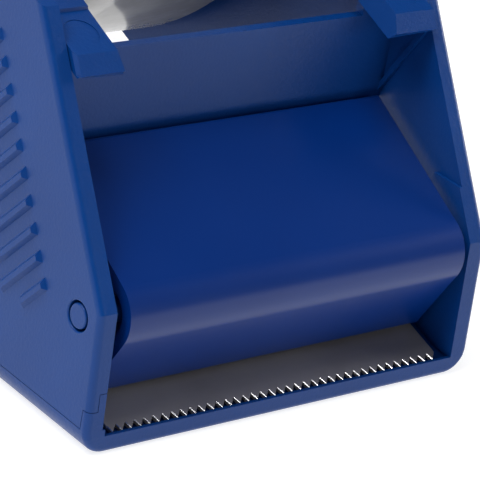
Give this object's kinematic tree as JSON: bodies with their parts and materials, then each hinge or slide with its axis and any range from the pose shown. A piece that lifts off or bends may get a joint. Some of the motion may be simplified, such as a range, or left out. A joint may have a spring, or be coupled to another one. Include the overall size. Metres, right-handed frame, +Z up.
{
  "type": "tape dispenser",
  "caption": "Hand-held closed-body packing tape dispenser with hinged side cover, sprung applicator flap, serrated blade, braked hub and tape roll.",
  "frame": {"origin": "centre of the whole object's bounding box in X and Y, on the surface it stands on", "axes": "+Z up from the table, +Y from the cutting lip towards the hinge at the rear, +X across the tape towards the side with the brake knob"},
  "size_m": [0.0698, 0.1538, 0.1267],
  "materials": {
    "housing_blue": "fine spark-textured moulded polystyrene",
    "flap_blue": "satin moulded polystyrene",
    "pin_blue": "satin moulded pin",
    "blade_steel": "blued spring steel with ground teeth",
    "bright_steel": "zinc-plated",
    "spring_steel": "drawn wire",
    "dark_plastic": "black moulded plastic",
    "hub_plastic": "black moulded plastic",
    "felt": "pressed felt",
    "card": "spiral-wound kraft board",
    "tape_film": "wound clear film over adhesive"
  },
  "bodies": {
    "housing": {"right_housing": "housing_blue", "hinge_pin": "bright_steel", "flap_pin": "pin_blue", "blade": "blade_steel", "blade_clamp": "dark_plastic", "blade_screws": "bright_steel", "axle_bolt": "bright_steel", "hub_washer": "bright_steel", "friction_washer": "felt", "brake_washer": "bright_steel", "brake_spring": "spring_steel"},
    "cover": {"left_cover": "housing_blue"},
    "flap": {"flap": "flap_blue", "flap_spring": "spring_steel"},
    "roll": {"hub": "hub_plastic", "hub_cap": "dark_plastic", "tape_core": "card", "tape_roll": "tape_film"},
    "knob": {"brake_knob": "dark_plastic", "knob_nut": "bright_steel"}
  },
  "joints": [
    {"name": "roll_spin", "type": "hinge", "parent": "housing", "child": "roll", "pos_m": [0, 0.01142, 0.0667], "axis": [1, 0, 0], "continuous": true},
    {"name": "flap_pivot", "type": "hinge", "parent": "housing", "child": "flap", "pos_m": [0, -0.07204, 0.01554], "axis": [-1, 0, 0], "range_deg": [0, 12], "stiffness_Nm_per_rad": 0.02, "springref_deg": -11.46, "deforming": ["flap_spring"]},
    {"name": "cover_hinge", "type": "hinge", "parent": "housing", "child": "cover", "pos_m": [-0.03177, 0.07433, 0.038], "axis": [0, 0, -1], "range_deg": [0, 110]},
    {"name": "brake_knob_turn", "type": "hinge", "parent": "housing", "child": "knob", "pos_m": [0, 0.01142, 0.0667], "axis": [1, 0, 0], "range_deg": [-180, 180]}
  ]
}
